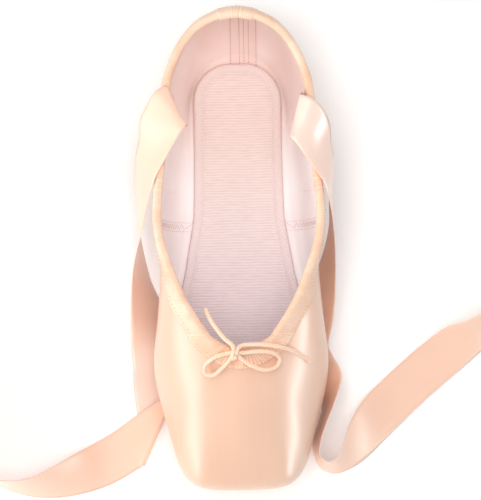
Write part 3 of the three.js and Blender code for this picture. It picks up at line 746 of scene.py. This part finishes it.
binding_skin = quad_skin("binding", ("round", "side"))
binding_rings = rings_of(binding_skin)
binding_grid = np.array([[corner.co[:] for corner in ring] for ring in binding_rings])
collar = binding_grid[0]
half_collar = len(collar) // 2
collar_steps = np.linalg.norm(np.diff(collar[:half_collar + 1], axis=0), axis=1)
from_throat = np.append(np.cumsum(collar_steps[::-1])[::-1], 0)
round_collar, side_of_collar = (binding_skin.verts.layers.float[name] for name in ("round", "side"))
for ring in binding_rings:
    for index, corner in enumerate(ring):
        corner[round_collar] = from_throat[min(index, len(collar) - index)]
        corner[side_of_collar] = 1 if index < len(collar) / 2 else -1
binding_mesh = subdivided(binding_skin, "ribbed_binding")
away_values, side_values = (binding_mesh.attributes[name].data for name in ("round", "side"))
outward = [point.normal.copy() for point in binding_mesh.vertices]
for point in binding_mesh.vertices:
    at = point.index
    point.co += outward[at] * puckered(away_values[at].value / MM, side_values[at].value) * MM
binding = show_piece("ribbed_binding", binding_mesh, [finish_binding()])
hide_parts("binding")

# The tape is sewn down along its lower edge
binding_surface = surface_of(binding)
edge_row = max(binding_grid, key=lambda row: np.abs(row[:, 0]).max() - row[:, 2].mean())
sewn_line = [Vector(low).lerp(Vector(high), stitch_from_edge) for low, high in zip(edge_row, collar)]
binding_seam = []
for spot in smooth_line(sewn_line + sewn_line[:1], 6):
    place, normal, _, _ = binding_surface.find_nearest(spot)
    outside = normal.z > 0 or normal.dot(Vector((spot.x, spot.y, 0))) > 0
    binding_seam.append((place, normal if outside else -normal))
sew("binding_stitches", [binding_seam], 2.1 * MM, 1.3 * MM, 0.36 * MM, satin_thread)


# Insole. A board with thin padding under ribbed cotton, with a plain border overlocked round it.
# It lies on the turned edge of the upper and runs on under the vamp.
insole_rib = 1.4
insole_border = 5
insole_thickness = 1.7 * MM
insole_points = 360
insole_spine_from_toe = 0.024
insole_spine_from_heel = 0.021
insole_spine = 40
insole_under = [insole_spine, 12, 4, 0.4]
insole_over = [0, 0.25, 0.6, 1.1, 1.8, 2.6, 3.5, 4.4, 4.9, 5.2, 5.8, 7, 9, 11.5, 14.5, 18, insole_spine]


def finish_insole():
    cloth = Finish("ribbed_cotton", roughness=0.9, sheen_weight=0.15)
    place = cloth.place()
    rim = cloth.node("TexCoord", {}, {}, "UV")
    inward, around = cloth.part(rim, 0), cloth.part(rim, 1)
    wander = cloth.noise(cloth.stretched(place, 45, 30, 1), 1, 2)
    ribs = ((cloth.part(place, 1) / MM + wander * 1.6) * (2 * math.pi / insole_rib)).wave()
    broken = cloth.noise(cloth.stretched(place, 160, 900, 1), 1, 2)
    lines = (ribs * 0.8 + (broken - 0.5) * 2.6).between(-0.9, 1.3)
    border = 1 - inward.between(insole_border - 0.3, insole_border + 0.3)
    puckers = ((around + inward * 0.7) * (2 * math.pi / 1.9)).wave()
    fine = cloth.noise(place, 1500, 2)
    tone = border * (0.55 + puckers * 0.1 + fine * 0.25) + (1 - border) * (0.9 - lines * 0.62)
    # Painted shade: the tone falls to the low colour within 0.9 mm of the rim, a painted dark line where the
    # insole meets the lining.
    tone = tone * inward.between(0, 0.9)
    height = border * (puckers * 0.3 + fine * 0.2) + (1 - border) * (1 - lines) * 0.5
    # Painted shade and painted warm light: the cotton is painted darker and cooler towards the toe, where it
    # runs in under the vamp, and warmer towards the heel.
    shade = cloth.part(place, 1).between(-0.06, 0.06)
    low = cloth.mixed(shade, colour(208, 185, 189), colour(219, 193, 187))
    high = cloth.mixed(shade, colour(238, 223, 226), colour(238, 222, 217))
    return cloth.feed(base_color=cloth.mixed(tone, low, high), normal=cloth.bumped(height, 0.25 * MM, 0.6))


board_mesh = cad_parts["insole"].data
board_corners = np.array([point.co[:] for point in board_mesh.vertices])
board_back, board_front = board_corners[:, 1].max(), board_corners[:, 1].min()
board_surface = surface_of(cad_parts["insole"])


def insole_outline(count):
    """The board's outline from the middle of the heel round by the left, evenly paced, and the way
    covered at each place on it."""
    reach = {}
    for x, y, _ in board_corners:
        reach[round(y, 5)] = max(reach.get(round(y, 5), 0), x)
    line = [Vector((-reach[y], y, 0)) for y in sorted(reach, reverse=True)]
    line = [Vector((0, board_back, 0))] + line + [Vector((0, board_front, 0))]
    half = smooth_line([a for a, b in zip(line, line[1:]) if (b - a).length > 1e-5] + line[-1:], 8)
    covered = way_covered(half)
    wanted = np.linspace(0, covered[-1], count // 2 + 1)
    rows = [np.interp(wanted, covered, [spot[axis] for spot in half]) for axis in (0, 1)]
    left = [Vector((x, y, 0)) for x, y in zip(*rows)]
    right = [Vector((-spot.x, spot.y, 0)) for spot in left[-2::-1]]
    return left + right, np.linspace(0, 2 * covered[-1], count + 1)


def spine_by(rim):
    """The place on the line down the board's middle that a place on its rim looks towards."""
    low, high = board_front + insole_spine_from_toe, board_back - insole_spine_from_heel
    return Vector((0, min(max(rim.y, low), high), 0))


def top_below(surface, place):
    """Where the surface is met from above at this place, and its normal there."""
    return surface.ray_cast(Vector((place.x, place.y, 0.1)), Vector((0, 0, -1)))[:2]


def lay_insole():
    """The covered board, in rings: inward under it, over its rounded rim and up to its middle again."""
    spots, covered = insole_outline(insole_points)
    board = bmesh.new()
    uv = board.loops.layers.uv.new("UVMap")
    rings = insole_under + insole_over
    last = len(rings) - 1
    bmesh.ops.create_grid(board, x_segments=last, y_segments=insole_points, size=1)
    places = {}
    for point in board.verts:
        ring = round((point.co.x + 1) / 2 * last)
        index = round((point.co.y + 1) / 2 * insole_points)
        rim = spots[index]
        spine = spine_by(rim)
        depth = min(rings[ring] * MM, (spine - rim).length)
        place = rim + (spine - rim).normalized() * depth
        inward = depth / MM
        crown = 0.35 * math.sin(min(1, inward / insole_border) * math.pi)
        groove = 0.45 * math.exp(-((inward - insole_border) / 0.5) ** 2)
        rounded = 0.8 * max(0, 1 - inward / 1.1) ** 2
        rise = (crown - groove - rounded) * MM if ring >= len(insole_under) else -insole_thickness
        place.z = top_below(board_surface, place.lerp(spine, 0.03))[0].z + rise
        places[point] = (inward, covered[index] / MM)
        point.co = place
    map_smoothly(board, uv, places)
    bmesh.ops.remove_doubles(board, verts=board.verts, dist=1e-6)
    bmesh.ops.recalc_face_normals(board, faces=board.faces)
    return show_piece("cotton_insole", mesh_of(board, "cotton_insole"), [finish_insole()])


insole = lay_insole()
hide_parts("insole")

# The border is overlocked: slanting stitches at its rim and where it meets the ribbed cotton
insole_surface = surface_of(insole)
insole_thread = thread_finish("insole_thread", colour(226, 202, 202))
overlock = []
for depth in (0.9, 4.3):
    spots = [spot + (spine_by(spot) - spot).normalized() * depth * MM for spot in insole_outline(240)[0]]
    overlock.append([top_below(insole_surface, spot) for spot in spots])
sew("insole_stitches", overlock, 2.3 * MM, 1 * MM, 0.28 * MM, insole_thread, 0.5)


# Outsole. One piece of buffed leather, narrower than the shoe, with a burnished edge. It is stitched
# on before the shoe is turned.
sole_round = 0.5 * MM


def finish_leather():
    leather = Finish("buffed_leather", roughness=0.8, sheen_weight=0.15)
    place = leather.place()
    grain = leather.noise(place, 900, 4)
    slow = leather.noise(place, 60, 3)
    tone = (grain * 0.5 + slow * 0.5).between(0.35, 0.65)
    return leather.feed(base_color=leather.mixed(tone, colour(222, 150, 110), colour(240, 180, 140)),
                        normal=leather.bumped(grain, 0.2 * MM, 0.6))


def finish_edge():
    edge = Finish("burnished_edge", roughness=0.5)
    slow = edge.noise(edge.place(), 200, 3)
    return edge.feed(base_color=edge.mixed(slow.between(0.3, 0.7), colour(96, 40, 20), colour(140, 70, 40)))


sole = bmesh.new()
sole.from_mesh(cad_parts["outsole"].data)
bmesh.ops.remove_doubles(sole, verts=sole.verts, dist=5e-6)
bmesh.ops.join_triangles(sole, faces=sole.faces, cmp_seam=False, cmp_sharp=False, cmp_uvs=False,
                         cmp_vcols=False, cmp_materials=False, angle_face_threshold=math.radians(50),
                         angle_shape_threshold=math.radians(80))
for face in sole.faces:
    face.material_index = 1 if abs(face.normal.z) < 0.5 else 0
sole_mesh = mesh_of(sole, "leather_sole")
outsole = show_piece("leather_sole", sole_mesh, [finish_leather(), finish_edge()])
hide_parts("outsole")
sole_bevel = outsole.modifiers.new("rounded", "BEVEL")
sole_bevel.width = sole_round
sole_bevel.segments = 2
sole_bevel.limit_method = "ANGLE"


# Floor and light. A white studio floor that glows a little, in a bright white room. One large soft
# light hangs overhead and a small one over the opening, and a broad low one on each side draws the
# sheen down the vamp.
floor_half = 3
floor_glow = 0.1
room_light = 0.5
paper = bmesh.new()
bmesh.ops.create_grid(paper, x_segments=1, y_segments=1, size=floor_half)
floor = bpy.data.objects.new("floor", mesh_of(paper, "floor"))
floor_paper = Finish("floor_paper", base_color=(0.96, 0.96, 0.96, 1), roughness=0.95,
                     emission_color=(1, 1, 1, 1), emission_strength=floor_glow)
floor.data.materials.append(floor_paper.material)
bpy.context.scene.collection.objects.link(floor)

world = bpy.data.worlds.new("studio")
bpy.context.scene.world = world
world.use_nodes = True
room = world.node_tree.nodes["Background"]
room.inputs["Color"].default_value = (1, 1, 1, 1)
room.inputs["Strength"].default_value = room_light
bpy.context.scene.view_settings.view_transform = "Standard"


def soft_light(name, azimuth, elevation, distance, width, height, power, shines=True, lights=True):
    """A flat soft light turned to the shoe. Azimuth runs from the toe's side towards the right."""
    lamp = bpy.data.lights.new(name, "AREA")
    lamp.shape = "RECTANGLE"
    lamp.size, lamp.size_y = width, height
    lamp.energy = power
    shown = bpy.data.objects.new(name, lamp)
    turn, rise = math.radians(azimuth), math.radians(elevation)
    way = Vector((math.sin(turn) * math.cos(rise), -math.cos(turn) * math.cos(rise), math.sin(rise)))
    shown.location = Vector((0, -0.05, 0.03)) + way * distance
    shown.rotation_euler = way.to_track_quat("Z", "Y").to_euler()
    shown.visible_glossy = shines
    shown.visible_diffuse = lights
    bpy.context.scene.collection.objects.link(shown)


soft_light("left_screen", -62, 17, 1.2, 1.3, 0.56, 10)
soft_light("right_screen", 67, 9, 1.2, 1.3, 0.3, 13, lights=False)
soft_light("overhead", 0, 90, 1.9, 1.4, 1.4, 15, shines=False)
soft_light("over_the_opening", 180, 62, 0.24, 0.07, 0.13, 0.14, shines=False)
